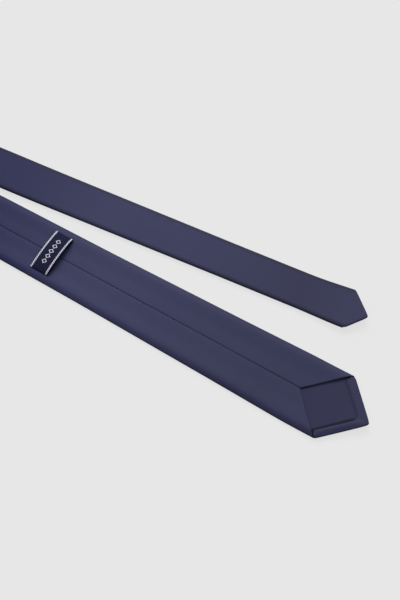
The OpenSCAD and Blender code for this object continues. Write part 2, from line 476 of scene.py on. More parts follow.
@dataclass(frozen=True)
class TwillWeave:
    """The diagonal ribs of twill, crossed by finer threads, with thick and thin places in the yarn.

    Attributes:
        level: Middle height of the weave, in a range from 0 to 1.
        rib: How far the ribs swing from it.
        thread: How far the crossing threads swing from it.
        slub_scale: Thick and thin places per metre.
        slub_share: Their share in the tone; the height has the rest.
    """

    level: float = 0.5
    rib: float = 0.35
    thread: float = 0.15
    slub_scale: float = 900.0
    slub_share: float = 0.5

    def fill(self, g: Graph, start: bpy.types.Node, end: bpy.types.Node) -> None:
        """Adds the group's nodes.

        Args:
            g: The group's graph.
            start: Its input node.
            end: Its output node.
        """
        turned = g.node(
            "ShaderNodeVectorRotate",
            {"Vector": start.outputs["Cloth"], "Angle": start.outputs["Angle"]},
            rotation_type="Z_AXIS",
        )
        across = g.node("ShaderNodeSeparateXYZ", {0: turned.outputs[0]})
        full = g.math("DIVIDE", 2 * math.pi, start.outputs["Pitch"])
        rib = g.math("SINE", g.math("MULTIPLY", across.outputs[0], full))
        slanted = g.math("ADD", across.outputs[1], across.outputs[0])
        thread = g.math("SINE", g.math("MULTIPLY", slanted, full))
        threads = g.math("MULTIPLY_ADD", thread, self.thread, self.level)
        height = g.math("MULTIPLY_ADD", rib, self.rib, threads)
        slub = g.node(
            "ShaderNodeTexNoise", {"Vector": turned.outputs[0], "Scale": self.slub_scale, "Detail": 2.0}
        )
        rest = g.math("MULTIPLY", height, 1 - self.slub_share)
        g.link(height, end, "Height")
        g.link(g.math("MULTIPLY_ADD", slub.outputs[0], self.slub_share, rest), end, "Tone")

    def group(self) -> bpy.types.NodeTree:
        """Gets the weave as a node group.

        Returns:
            A group from cloth coordinates in metres to a height and a tone, both from 0 to 1.
        """
        inputs = {
            "Cloth": ("NodeSocketVector", (0, 0, 0)),
            "Angle": ("NodeSocketFloat", 0.5),
            "Pitch": ("NodeSocketFloat", 6e-4),
        }
        outputs = {"Height": "NodeSocketFloat", "Tone": "NodeSocketFloat"}
        return shared_group("twill ribs", inputs, outputs, self.fill)


@dataclass(frozen=True)
class ClothToneAndShade:
    """Tone of the cloth: faint random clouds, with painted light and shade: painted shade near the neck,
    where the blades lie close, a lighter middle, painted shade towards the tips, and painted shade in
    creases.

    Attributes:
        broad_scale: Broad clouds per metre.
        fine_scale: Fine clouds per metre.
        broad_share: Share of the broad clouds.
        fine_share: Share of the fine clouds.
        grain_share: Share of the weave's own tone.
        middle: Mean of all three, where the tone doesn't change.
        neck_shade_fades: Distances from the turn, in metres, between which the painted shade near the neck
            gives way to lighter cloth.
        tip_shade_grows: Distances between which painted shade, a little greyer, grows towards the tips.
        painted_light_gain: How much lighter the cloth is past the painted shade of the neck; painted light.
        neck_shade_tint: Tint of the painted shade near the neck, a darker and bluer colour.
        tip_shade_tint: Tint of the painted shade towards the tips.
        crease_dark: How much darker the painted shade makes the bottom of a crease.
    """

    broad_scale: float = 9.0
    fine_scale: float = 90.0
    broad_share: float = 0.7
    fine_share: float = 0.3
    grain_share: float = 0.5
    middle: float = 0.75
    neck_shade_fades: tuple[float, float] = (0.30, 0.46)
    tip_shade_grows: tuple[float, float] = (0.46, 0.66)
    painted_light_gain: float = 0.22
    neck_shade_tint: Colour = (0.58, 0.64, 0.93)
    tip_shade_tint: Colour = (0.85, 0.81, 0.79)
    crease_dark: float = 0.85

    def clouds(self, g: Graph, start: bpy.types.Node) -> bpy.types.NodeSocket:
        """Adds the clouds and the grain.

        Args:
            g: The group's graph.
            start: Its input node.

        Returns:
            A tone that swings about 0.
        """
        cloth = start.outputs["Cloth"]
        broad = g.node("ShaderNodeTexNoise", {"Vector": cloth, "Scale": self.broad_scale, "Detail": 2.0})
        fine = g.node("ShaderNodeTexNoise", {"Vector": cloth, "Scale": self.fine_scale, "Detail": 3.0})
        fine_part = g.math("MULTIPLY", fine.outputs[0], self.fine_share)
        both = g.math("MULTIPLY_ADD", broad.outputs[0], self.broad_share, fine_part)
        grain = g.math("MULTIPLY_ADD", start.outputs["Grain"], self.grain_share, both)
        return g.math("MULTIPLY", g.math("SUBTRACT", grain, self.middle), start.outputs["Amount"])

    def fill(self, g: Graph, start: bpy.types.Node, end: bpy.types.Node) -> None:
        """Adds the group's nodes.

        Args:
            g: The group's graph.
            start: Its input node.
            end: Its output node.
        """
        along = g.node("ShaderNodeSeparateXYZ", {0: start.outputs["Cloth"]}).outputs[1]
        # painted shade near the neck, where the blades lie close, gives way to lighter cloth, and painted
        # shade, a little greyer, grows towards the tips
        past_neck_shade, tip_shading = (
            g.node(
                "ShaderNodeMapRange",
                {"Value": along, "From Min": low, "From Max": high},
                interpolation_type="SMOOTHSTEP",
            ).outputs[0]
            for low, high in (self.neck_shade_fades, self.tip_shade_grows)
        )
        own = start.outputs["Color"]
        # the painted shade of the tips and of the neck are darker tints of the cloth's own colour
        tip_shaded = g.mix(1.0, own, (*self.tip_shade_tint, 1), "MULTIPLY")
        deeper = g.mix(start.outputs["Deepening"], own, (*self.neck_shade_tint, 1), "MULTIPLY")
        colour = g.mix(tip_shading, g.mix(past_neck_shade, deeper, own), tip_shaded)
        # painted shade in creases, from the crease attribute, and painted light past the neck, with random
        # clouds on top
        dark = g.math("MULTIPLY_ADD", start.outputs["Crease"], -self.crease_dark, 1.0)
        light = g.math("ADD", g.math("MULTIPLY_ADD", past_neck_shade, self.painted_light_gain, 1.0), self.clouds(g, start))
        out = g.node(
            "ShaderNodeVectorMath", {0: colour, "Scale": g.math("MULTIPLY", light, dark)}, operation="SCALE"
        )
        g.link(out.outputs[0], end, "Color")

    def group(self) -> bpy.types.NodeTree:
        """Gets the cloth tone and painted shade as a node group.

        Returns:
            A group from a colour to the same colour, with random clouds and painted light and shade.
        """
        inputs = {
            "Cloth": ("NodeSocketVector", (0, 0, 0)),
            "Color": ("NodeSocketColor", (1, 1, 1, 1)),
            "Grain": ("NodeSocketFloat", 0.5),
            "Amount": ("NodeSocketFloat", 0.3),
            "Crease": ("NodeSocketFloat", 0.0),
            "Deepening": ("NodeSocketFloat", 0.0),
        }
        return shared_group("cloth tone and painted shade", inputs, {"Color": "NodeSocketColor"}, self.fill)


TWILL = TwillWeave()
TONE_AND_SHADE = ClothToneAndShade()


def start_material(
    name: str, roughness: float, specular: float, sheen: float
) -> tuple[bpy.types.Material, Graph, bpy.types.Node]:
    """Starts a cloth material.

    Args:
        name: The material's name.
        roughness: The shader's roughness.
        specular: The shader's specular level.
        sheen: The shader's sheen weight.

    Returns:
        The material, its graph and its Principled shader.
    """
    material = bpy.data.materials.new(name)
    material.use_nodes = True
    shader = material.node_tree.nodes["Principled BSDF"]
    shader.inputs["Roughness"].default_value = roughness
    shader.inputs["Specular IOR Level"].default_value = specular
    shader.inputs["Sheen Weight"].default_value = sheen
    shader.inputs["Sheen Roughness"].default_value = SHEEN_ROUGHNESS
    return material, Graph(material.node_tree), shader


@dataclass(frozen=True)
class WovenFinish:
    """A woven cloth: its colour, its ribs and its sheen.

    Attributes:
        name: The material's name.
        colour: Linear colour of the yarn.
        pitch: Pitch of the ribs, in metres.
        angle: Angle of the ribs, in radians.
        relief: Strength of the ribs' bump.
        variation: How much the tone varies.
        roughness: The shader's roughness.
        specular: The shader's specular level.
        sheen: The shader's sheen weight.
        deepening: Strength of the painted shade near the neck, a darker and bluer colour, from 0 to 1.
        bump_depth: Depth of the ribs' bump, in metres.
    """

    name: str
    colour: Colour
    pitch: float
    angle: float
    relief: float
    variation: float
    roughness: float = 0.62
    specular: float = 0.15
    sheen: float = 0.05
    deepening: float = 0.0
    bump_depth: float = 1e-4

    def material(self) -> bpy.types.Material:
        """Builds the material, or gets it if it's already there.

        Returns:
            The material.
        """
        if self.name in bpy.data.materials:
            return bpy.data.materials[self.name]
        material, g, shader = start_material(self.name, self.roughness, self.specular, self.sheen)
        cloth = g.node("ShaderNodeUVMap", uv_map="UVMap").outputs[0]
        ribs = g.node("ShaderNodeGroup", node_tree=TWILL.group())
        g.link(cloth, ribs, "Cloth")
        ribs.inputs["Angle"].default_value = self.angle
        ribs.inputs["Pitch"].default_value = self.pitch
        tone = g.node("ShaderNodeGroup", node_tree=TONE_AND_SHADE.group())
        g.link(cloth, tone, "Cloth")
        g.link(ribs.outputs["Tone"], tone, "Grain")
        tone.inputs["Color"].default_value = (*self.colour, 1)
        tone.inputs["Amount"].default_value = self.variation
        # strength of the painted shade near the neck
        tone.inputs["Deepening"].default_value = self.deepening
        # painted shade in creases, on the sides next to the table, at the seam and by the hem, read from the
        # crease attribute
        crease = g.node("ShaderNodeAttribute", attribute_name="crease")
        g.link(crease.outputs["Fac"], tone, "Crease")
        height = ribs.outputs["Height"]
        bump = g.node(
            "ShaderNodeBump", {"Height": height, "Strength": self.relief, "Distance": self.bump_depth}
        )
        g.link(tone.outputs["Color"], shader, "Base Color")
        g.link(bump.outputs[0], shader, "Normal")
        return material


@dataclass(frozen=True)
class RibbonFinish:
    """The keeper's dark woven ribbon, with two hatched stripes and a row of small lozenges.

    Lengths are in millimetres, along the band or across it from its middle.

    Attributes:
        name: The material's name.
        ground: Linear colour of the ribbon.
        pale: Linear colour of the stripes and lozenges.
        roughness: The shader's roughness.
        specular: The shader's specular level.
        stripe_out: How far a stripe's middle lies from the band's middle.
        stripe_half: Half the width of a stripe.
        hatch_pitch: Pitch of the stripe's slanted threads.
        hatch_slant: How far they lean along the band, for each millimetre across it.
        hatch_full: Share of the pitch that shows the pale thread whole.
        hatch_gap: Strength of the pale colour between the threads.
        hatch_start: Length added along the band, so that a remainder is never taken below zero.
        lozenge_pitch: Pitch of the lozenges.
        lozenge_half: Half the length of a lozenge.
        lozenge_line: Half the thickness of its line.
        lozenge_count: How many there are.
        whole_turns: Whole pitches added along the band, for the same reason as hatch_start.
        weft_pitch: Pitch of the threads that cross the band.
        weft_height: Their height in the bump.
        warp_pitch: Pitch of the threads along it.
        warp_height: Their height in the bump.
        bump: Strength of the bump.
        bump_depth: Depth of the bump, in metres.
    """

    name: str = "keeper ribbon"
    ground: Colour = (0.008, 0.008, 0.032)
    pale: Colour = (0.60, 0.61, 0.68)
    roughness: float = 0.6
    specular: float = 0.06
    stripe_out: float = 8.8
    stripe_half: float = 0.85
    hatch_pitch: float = 2.2
    hatch_slant: float = 0.8
    hatch_full: float = 0.55
    hatch_gap: float = 0.35
    hatch_start: float = 200.0
    lozenge_pitch: float = 6.2
    lozenge_half: float = 2.3
    lozenge_line: float = 0.48
    lozenge_count: int = 5
    whole_turns: int = 40
    weft_pitch: float = 0.35
    weft_height: float = 0.3
    warp_pitch: float = 0.5
    warp_height: float = 0.2
    bump: float = 0.5
    bump_depth: float = 1.5e-4

    def stripes(
        self, g: Graph, along: bpy.types.NodeSocket, across: bpy.types.NodeSocket
    ) -> bpy.types.NodeSocket:
        """Adds the two hatched stripes.

        Args:
            g: The material's graph.
            along: Millimetres along the band from its middle.
            across: Millimetres across the band from its middle.

        Returns:
            Strength of the pale colour.
        """
        from_stripe = g.math("SUBTRACT", g.math("ABSOLUTE", across), self.stripe_out)
        stripe = g.math("LESS_THAN", g.math("ABSOLUTE", from_stripe), self.stripe_half)
        slanted = g.math("ADD", along, g.math("MULTIPLY", across, self.hatch_slant))
        hatch = g.math("MODULO", g.math("ADD", slanted, self.hatch_start), self.hatch_pitch)
        whole = g.math("LESS_THAN", hatch, self.hatch_pitch * self.hatch_full)
        threads = g.math("MULTIPLY_ADD", whole, 1 - self.hatch_gap, self.hatch_gap)
        return g.math("MULTIPLY", stripe, threads)

    def lozenges(
        self, g: Graph, along: bpy.types.NodeSocket, across: bpy.types.NodeSocket
    ) -> bpy.types.NodeSocket:
        """Adds the row of lozenges along the band's middle.

        Args:
            g: The material's graph.
            along: Millimetres along the band from its middle.
            across: Millimetres across the band from its middle.

        Returns:
            1 on a lozenge's line and 0 elsewhere.
        """
        start = self.lozenge_pitch * (self.whole_turns + self.lozenge_count / 2)
        step = g.math("MODULO", g.math("ADD", along, start), self.lozenge_pitch)
        centred = g.math("ABSOLUTE", g.math("SUBTRACT", step, self.lozenge_pitch / 2))
        ring = g.math("SUBTRACT", g.math("ADD", centred, g.math("ABSOLUTE", across)), self.lozenge_half)
        line = g.math("LESS_THAN", g.math("ABSOLUTE", ring), self.lozenge_line)
        reach = self.lozenge_pitch * self.lozenge_count / 2
        return g.math("MULTIPLY", line, g.math("LESS_THAN", g.math("ABSOLUTE", along), reach))

    def material(self) -> bpy.types.Material:
        """Builds the material. The cloth coordinates run along the band in x and across it in y.

        Returns:
            The material.
        """
        material, g, shader = start_material(self.name, self.roughness, self.specular, 0.0)
        cloth = g.node("ShaderNodeUVMap", uv_map="UVMap").outputs[0]
        axes = g.node("ShaderNodeSeparateXYZ", {0: cloth})
        along = g.math("DIVIDE", axes.outputs[0], MM)
        across = g.math("DIVIDE", axes.outputs[1], MM)
        woven = g.math("MAXIMUM", self.stripes(g, along, across), self.lozenges(g, along, across))
        outer = g.node("ShaderNodeAttribute", attribute_name="outer")
        pale = g.math("MULTIPLY", woven, outer.outputs["Fac"])
        weft = g.math("SINE", g.math("MULTIPLY", along, 2 * math.pi / self.weft_pitch))
        warp = g.math("SINE", g.math("MULTIPLY", across, 2 * math.pi / self.warp_pitch))
        lines = g.math("MULTIPLY_ADD", warp, self.warp_height, pale)
        height = g.math("MULTIPLY_ADD", weft, self.weft_height, lines)
        tone = g.node("ShaderNodeGroup", node_tree=TONE_AND_SHADE.group())
        g.link(cloth, tone, "Cloth")
        g.link(g.mix(pale, (*self.ground, 1), (*self.pale, 1)), tone, "Color")
        bump = g.node(
            "ShaderNodeBump", {"Height": height, "Strength": self.bump, "Distance": self.bump_depth}
        )
        g.link(tone.outputs["Color"], shader, "Base Color")
        g.link(bump.outputs[0], shader, "Normal")
        return material


SHELL_CLOTH = WovenFinish(
    name="navy twill",
    colour=(0.0235, 0.0260, 0.0710),
    pitch=6.5e-4,
    angle=0.5,
    relief=0.35,
    variation=0.35,
    # painted shade near the neck at full strength
    deepening=1.0,
)
LINING = WovenFinish(
    name="navy lining",
    colour=(0.0280, 0.0298, 0.0685),
    pitch=3.5e-4,
    angle=0.0,
    relief=0.2,
    variation=0.2,
    roughness=0.6,
    specular=0.05,
    sheen=0.0,
)
FELT = WovenFinish(
    name="brushed felt",
    colour=(0.66, 0.61, 0.52),
    pitch=1.6e-3,
    angle=0.8,
    relief=0.5,
    variation=0.3,
    roughness=0.95,
    specular=0.1,
)
THREAD = WovenFinish(
    name="navy thread", colour=(0.030, 0.031, 0.062), pitch=4e-4, angle=0.6, relief=0.4, variation=0.2
)
RIBBON = RibbonFinish()


def dress(piece: bpy.types.Object, material: bpy.types.Material) -> None:
    """Gives a piece its material, in place of any that it had.

    Args:
        piece: The piece.
        material: Its material.
    """
    piece.data.materials.clear()
    piece.data.materials.append(material)


# ---------------------------------------------------------------- outer cloth


@dataclass(frozen=True)
class Section:
    """The folded section of the outer cloth, from the middle of the face to the seam on the back.

    Attributes:
        layout: The tie's layout.
        face_roll: Radius of the side's turn up from the face.
        back_roll: Width of the side's soft roll on the back.
        roll_power: How full the roll is; less is fuller.
        crown: Height of the crown at the seam.
        gap: Half the gap between the two flaps.
        lip: Radius of a flap's edge where it turns down into the seam.
        lip_drop: How far that edge goes down.
        plump_from: Share of the way from the seam to the side, where the plump edge starts to rise.
        face_steps: Number of columns from the middle of the face to the side.
        face_gather: How much closer they lie to the middle; 1 spreads them evenly.
        flap_steps: Number of columns on the flat of a flap.
        face_angles: Degrees round the turn up from the face.
        roll_parts: Places over the roll, from 0 at the side to 1 at the flat of the back.
        lip_angles: Degrees round the edge of a flap.
        table_shade: Strength of the painted shade on the side, next to the table.
        table_reach: How far up the roll that painted shade goes.
        lip_shade: Strength of the painted shade in the crease at the seam.
    """

    layout: TieLayout
    face_roll: float = 2.2
    back_roll: float = 7.0
    roll_power: float = 0.7
    crown: float = 0.7
    gap: float = 0.1
    lip: float = 2.1
    lip_drop: float = 0.45
    plump_from: float = 0.45
    face_steps: int = 11
    face_gather: float = 1.5
    flap_steps: int = 8
    face_angles: tuple[int, ...] = (0, 20, 40, 60, 75)
    roll_parts: tuple[float, ...] = (0, 0.01, 0.03, 0.07, 0.13, 0.21, 0.31, 0.43, 0.56, 0.7, 0.84)
    lip_angles: tuple[int, ...] = (20, 40, 60, 75, 90)
    table_shade: float = 0.5
    table_reach: float = 0.2
    lip_shade: float = 0.14

    def columns(self, half_w: Array, crown: Array, plump: Array) -> Array:
        """Works out one side of the section at each of several widths.

        Args:
            half_w: Half the width of the tie, any shape.
            crown: Height of the crown at the seam, of the same shape.
            plump: How far the rolled edge stands above the flat of the back, of the same shape.

        Returns:
            An array whose last two axes are the columns and (v, n, inward v, inward n).
        """
        middle, back = self.layout.thickness / 2, self.layout.thickness
        level = np.zeros_like(half_w)
        across, height = [], []
        for f in np.linspace(0, 1, self.face_steps)[:-1] ** self.face_gather:
            across.append(f * (half_w - self.face_roll))
            height.append(level)
        for q in np.radians(self.face_angles):
            across.append(half_w - self.face_roll * (1 - math.sin(q)))
            height.append(level + middle * (1 - math.cos(q)))
        for part in self.roll_parts:
            across.append(half_w - self.back_roll * part)
            height.append(middle + (middle + plump) * math.sin(math.pi / 2 * part) ** self.roll_power)
        low = self.gap + self.lip
        for f in np.linspace(0, 1, self.flap_steps):
            v = (half_w - self.back_roll) * (1 - f) + low * f
            flat = v / (half_w - self.back_roll)
            edge = plump * ease((flat - self.plump_from) / (1 - self.plump_from))
            height.append(back + crown * (1 - flat ** 2) ** 2 + edge)
            across.append(v)
        for q in np.radians(self.lip_angles):
            across.append(level + low - self.lip * math.sin(q))
            height.append(back + crown - self.lip_drop * (1 - math.cos(q)))
        line = np.stack([np.array(across), np.array(height)], -1)
        way = np.gradient(line, axis=0)
        inward = np.stack([-way[..., 1], way[..., 0]], -1)
        inward /= np.maximum(np.linalg.norm(inward, axis=-1, keepdims=True), 1e-9)
        inward[0] = (0, 1)
        return np.moveaxis(np.concatenate([line, inward], -1), 0, -2)

    def whole(self, half_w: Array, crown: Array, plump: Array) -> Array:
        """Works out the whole section, from the seam on the -v side round to the seam on the +v side.

        Args:
            half_w: Half the width of the tie, any shape.
            crown: Height of the crown at the seam, of the same shape.
            plump: How far the rolled edge stands above the flat of the back, of the same shape.

        Returns:
            An array whose last two axes are the columns and (v, n, inward v, inward n).
        """
        side = self.columns(half_w, crown, plump)
        other = side[..., :0:-1, :] * np.array([-1, 1, -1, 1])
        return np.concatenate([other, side], -2)

    def crease(self) -> Array:
        """Strength of the painted shade at each column: on the lips in the crease at the seam, and on the
        edge next to the table.

        Returns:
            A strength from 0 to 1 for each column of the whole section.
        """
        face = [0.0] * (self.face_steps - 1) + [self.table_shade] * len(self.face_angles)
        roll = [self.table_shade * max(0.0, 1 - part / self.table_reach) for part in self.roll_parts]
        lips = [self.lip_shade * (q / 90) ** 2 for q in self.lip_angles]
        side = np.array(face + roll + [0.0] * self.flap_steps + lips)
        return np.concatenate([side[:0:-1], side])

    def developed(self, half_w: float) -> Array:
        """Distance of each column from the middle of the face over the flattened cloth.

        Args:
            half_w: Half the width of the tie.

        Returns:
            Distances across the flat cloth, negative on the -v side.
        """
        side = self.columns(np.array(half_w), np.array(0.0), np.array(0.0))
        steps = np.linalg.norm(np.diff(side[:, :2], axis=0), axis=1)
        reach = np.concatenate([[0], np.cumsum(steps)])
        return np.concatenate([-reach[:0:-1], reach])


@dataclass(frozen=True)
class PointOutline:
    """The outline of a sewn point, which is never quite even: +v is its upper side, -v its lower side.

    Attributes:
        upper_slope: How far the upper edge runs back for each millimetre across.
        lower_slope: How far the lower edge runs back.
        off_centre: How far the corner lies to the lower side.
        rounding: How softly the corner is rounded.
    """

    upper_slope: float
    lower_slope: float
    off_centre: float
    rounding: float

    def back_from_tip(self, reach: Array) -> Array:
        """How far behind the tip the outline lies.

        Args:
            reach: Distances across from the centre line.

        Returns:
            The distance behind the tip at each of them, in millimetres.
        """
        from_corner = reach + self.off_centre
        slope = np.where(from_corner > 0, self.upper_slope, self.lower_slope)
        return slope * (np.hypot(from_corner, self.rounding) - self.rounding)


@dataclass(frozen=True)
class TurnedEdge:
    """How the cloth turns in at the end of each column of a point.

    Attributes:
        face: Whether the column lies on the face; the rest is the flaps.
        deep: How far in from the outer surface the turned-in cloth lies.
        bulge: How far the fold bulges out past it.
        turn_in: Depth of the turned-in cloth.
        puff: How far it stands off the lining half way.
    """

    face: Array
    deep: Array
    bulge: Array
    turn_in: Array
    puff: Array


@dataclass
class OuterCloth:
    """The three pieces of outer cloth: the two blades and the neck between them.

    Attributes:
        layout: The tie's layout.
        section: The folded section of the cloth.
        wide_point: Outline of the wide tip.
        narrow_point: Outline of the narrow tip.
        hem: Depth of the hem round a point.
        hem_slope: How much deeper the hem gets for each millimetre in from the side.
        hem_least: Depth of the hem at the side.
        hem_level: Height of the hem over the face.
        hem_over: Room between the hem and the back of the section.
        hem_lowest: Least height of the hem over the face.
        hem_bulge: How far the hem's fold bulges out.
        flap_hem: Depth of the turned-in cloth along a flap's slanted edge.
        flap_fold: Height of that fold.
        flap_bulge: How far it bulges out.
        flap_start: How far past the shoulder the flap's edge begins.
        flap_shade: Strength of the painted shade along it.
        apex: How far behind the wide tip its two flaps meet.
        plump: How far the wide half's rolled sides stand above its back.
        crossing: Distance from the turn up to which the halves lie on each other.
        crossing_rise: Length over which the sides get plump after it.
        tip_crown: Share of the crown that is left near a tip.
        crown_from: Distance from the tip where the crown starts to rise.
        crown_rise: Length over which it rises.
        turn_clear: How far round the turn the crown goes.
        turn_rise: Length over which it rises from there.
        upper_puff: How far the hem stands up on the upper side.
        lower_puff: How far it stands up on the wide tip's lower side.
        puff_in: Distance from the middle over which it starts to stand up.
        puff_end: How far in from the side it lies flat again.
        puff_out: Length over which it comes down.
        puff_lean: How far behind the fold it stands highest; more is further.
        cut_dip: How far the cut edge dips back, as a share of the puff.
        dip_power: How short that dip is; more is shorter.
        fold_shade: Strength of the painted shade along the fold of the hem.
        groove_shade: Strength of the painted shade in the groove in front of the hem that stands up.
        hem_shade: Strength of the painted shade along the rest.
        groove_from: Place over the turned-in cloth where that painted shade begins.
        groove_ramp: Length over which it gets its full strength.
        cut_shade: Strength of the painted shade at a flap's cut edge.
        cut_power: How short that painted shade is; more is shorter.
        row_step: Mean distance between rows.
        row_gather: How much closer the rows lie towards the tip; 1 spreads them evenly.
        fold_angles: Degrees round the fold at the edge of a point.
        turn_in_parts: Places over the turned-in cloth, from its fold to its cut edge.
    """

    layout: TieLayout
    section: Section
    wide_point: PointOutline = PointOutline(0.945, 1.027, 0.0, 1.6)
    narrow_point: PointOutline = PointOutline(0.96, 0.90, 1.8, 1.2)
    hem: float = 12.0
    hem_slope: float = 2.2
    hem_least: float = 2.0
    hem_level: float = 2.75
    hem_over: float = 0.85
    hem_lowest: float = 0.9
    hem_bulge: float = 1.0
    flap_hem: float = 5.0
    flap_fold: float = 1.0
    flap_bulge: float = 0.45
    flap_start: float = 0.6
    flap_shade: float = 0.7
    apex: float = 72.5
    plump: float = 1.0
    crossing: float = 250.0
    crossing_rise: float = 80.0
    tip_crown: float = 0.35
    crown_from: float = 60.0
    crown_rise: float = 200.0
    turn_clear: float = 5.0
    turn_rise: float = 60.0
    upper_puff: float = 0.3
    lower_puff: float = 1.1
    puff_in: float = 6.0
    puff_end: float = 3.0
    puff_out: float = 5.0
    puff_lean: float = 1.4
    cut_dip: float = 0.6
    dip_power: int = 9
    fold_shade: float = 0.1
    groove_shade: float = 0.75
    hem_shade: float = 0.12
    groove_from: float = 0.7
    groove_ramp: float = 0.25
    cut_shade: float = 0.6
    cut_power: int = 12
    row_step: float = 7.0
    row_gather: float = 1.25
    fold_angles: tuple[int, ...] = (30, 60, 90, 120, 150, 180)
    turn_in_parts: tuple[float, ...] = (0.2, 0.4, 0.6, 0.72, 0.8, 0.87, 0.93, 0.97, 1.0)

    def crown_at(self, half: Half, d: Array) -> Array:
        """Height of the crown at the seam.

        Args:
            half: The half of the tie.
            d: Distances from the turn.

        Returns:
            A height at each distance; none on the half that lies on its back.
        """
        if half is Half.NARROW:
            return 0.0 * d
        from_tip = self.layout.tip_at(half) - d
        rising = self.tip_crown + (1 - self.tip_crown) * ease((from_tip - self.crown_from) / self.crown_rise)
        return self.section.crown * rising * ease((d + self.turn_clear) / self.turn_rise)

    def plump_at(self, half: Half, d: Array) -> Array:
        """How far the rolled sides stand above the wide half's back; nothing where the halves cross."""
        return (half is Half.WIDE) * self.plump * ease((d - self.crossing) / self.crossing_rise)

    def lay(self, half: Half, d: Array, off: Array) -> Array:
        """Lays a grid of points, one column of it for each column of the section.

        Args:
            half: The half of the tie.
            d: Distance of each point from the turn, as rows by columns.
            off: Distance of each point in from the outer surface.

        Returns:
            Points in the frame, in millimetres.
        """
        widths = self.layout.half_width(half, d)
        sections = self.section.whole(widths, self.crown_at(half, d), self.plump_at(half, d))
        own = np.arange(d.shape[1])
        at = sections[:, own, own]
        v, n = at[..., 0] + at[..., 2] * off, at[..., 1] + at[..., 3] * off
        return self.layout.place(half, d, v, n)

    def point_ends(self, half: Half) -> Array:
        """Distance of each column's end from the turn, along the point and the V of the flaps.

        Args:
            half: The half of the tie.

        Returns:
            A distance for each column of the section.
        """
        h = self.layout.tip_width(half) / 2
        reach = self.section.developed(h)
        edge = h + self.flap_start
        outline = self.wide_point if half is Half.WIDE else self.narrow_point
        shoulder = outline.back_from_tip(np.clip(reach, -edge, edge))
        over = np.maximum(np.abs(reach) - edge, 0) / (reach.max() - edge)
        apex = self.apex * h / (self.layout.wide_w / 2)
        return self.layout.tip_at(half) - shoulder - over * (apex - shoulder)

    def turned_edge(self, half: Half) -> TurnedEdge:
        """Works out how the cloth turns in round a point.

        Args:
            half: The half of the tie.

        Returns:
            The sizes of the turned-in cloth at each column.
        """
        h = self.layout.tip_width(half) / 2
        face = np.abs(self.section.developed(h)) < h + self.flap_start
        v, n = self.section.whole(np.array(h), np.array(0.0), np.array(self.plump))[:, :2].T
        out, room = np.abs(v), self.layout.thickness - self.hem_over - n
        deepening = np.clip(self.hem_slope * (h - out), self.hem_least, self.hem)
        lower_puff = self.lower_puff if half is Half.WIDE else self.upper_puff
        puff = face * np.where(v > 0, self.upper_puff, lower_puff)
        puff *= np.clip(out / self.puff_in, 0, 1) * np.clip((h - out - self.puff_end) / self.puff_out, 0, 1)
        return TurnedEdge(
            face=face,
            deep=np.where(face, np.clip(room, self.hem_lowest, self.hem_level), self.flap_fold),
            bulge=np.where(face, self.hem_bulge, self.flap_bulge),
            turn_in=np.where(face, deepening, self.flap_hem),
            puff=puff,
        )

    def turned_rows(self, edge: TurnedEdge, end: Array) -> list[tuple[Array, Array, Array]]:
        """Works out the rows of cloth that turn in round a point.

        Args:
            edge: The sizes of the turned-in cloth at each column.
            end: Distance of each column's end from the turn.

        Returns:
            Distances from the turn, distances in from the outer surface and strengths of painted shade of
            each row.
        """
        fold, rows = end - edge.bulge, []
        # each row carries painted shade: along the fold of the hem and the flaps' edges, in the groove in
        # front of the hem, and at a flap's cut edge
        for q in np.radians(self.fold_angles):
            crease = np.where(edge.face, self.fold_shade, self.flap_shade)
            rows.append((fold + edge.bulge * math.sin(q), edge.deep / 2 * (1 - math.cos(q)), crease))
        deepest = np.where(edge.puff > self.upper_puff, self.groove_shade, self.hem_shade)
        for s in self.turn_in_parts:
            swell = math.sin(math.pi * s ** self.puff_lean) - self.cut_dip * s ** self.dip_power
            groove = self.fold_shade + deepest * float(ease((s - self.groove_from) / self.groove_ramp))
            crease = np.where(edge.face, groove, self.cut_shade * s ** self.cut_power)
            rows.append((fold - (edge.turn_in - edge.bulge) * s, edge.deep + edge.puff * swell, crease))
        return rows

    def blade(self, half: Half) -> bpy.types.Object:
        """Builds the outer cloth of a blade, with its point and the cloth turned in round it.

        Args:
            half: The half of the tie.

        Returns:
            The finished piece.
        """
        lay = self.layout
        seam_half_w = float(lay.half_width(half, np.array(lay.seam_at(half))))
        start = lay.seam_at(half) - half.value * self.section.developed(seam_half_w) + lay.seam_half_gap
        end, edge = self.point_ends(half), self.turned_edge(half)
        count = int((end.max() - start.min()) / self.row_step)
        steps = 1 - (1 - np.linspace(0, 1, count)) ** self.row_gather
        rows = [(start + (end - edge.bulge - start) * u, 0 * start, self.section.crease()) for u in steps]
        rows += self.turned_rows(edge, end)
        d, off, crease = (np.array(part) for part in zip(*rows))
        flat_d = np.concatenate([d[:count], 2 * end - d[count:]])
        reach = self.section.developed(lay.tip_width(half) / 2)
        return self.finish(f"{half.name.lower()}_blade_cloth", half, d, off, reach, flat_d, crease)

    def neck_rows(
        self, half: Half, name: str, low: float | None, high: float | None, rows: int
    ) -> bpy.types.Object:
        """Builds a stretch of the neck's outer cloth.

        Args:
            half: The half that the stretch belongs to.
            name: The piece's name.
            low: Distance of its first row from the turn, or None at the turn's foot.
            high: Distance of its last row, or None at the bias seam.
            rows: Number of rows.

        Returns:
            The finished piece.
        """
        lay = self.layout
        seam_reach = self.section.developed(float(lay.half_width(half, np.array(lay.seam_at(half)))))
        first = np.full_like(seam_reach, low or 0.0)
        if high is None:
            last = lay.seam_at(half) - half.value * seam_reach - lay.seam_half_gap
        else:
            last = np.full_like(seam_reach, high)
        d = np.array([first + (last - first) * u for u in np.linspace(0, 1, rows)])
        crease = np.broadcast_to(self.section.crease(), d.shape)
        return self.finish(name, half, d, np.zeros_like(d), seam_reach, d, crease)

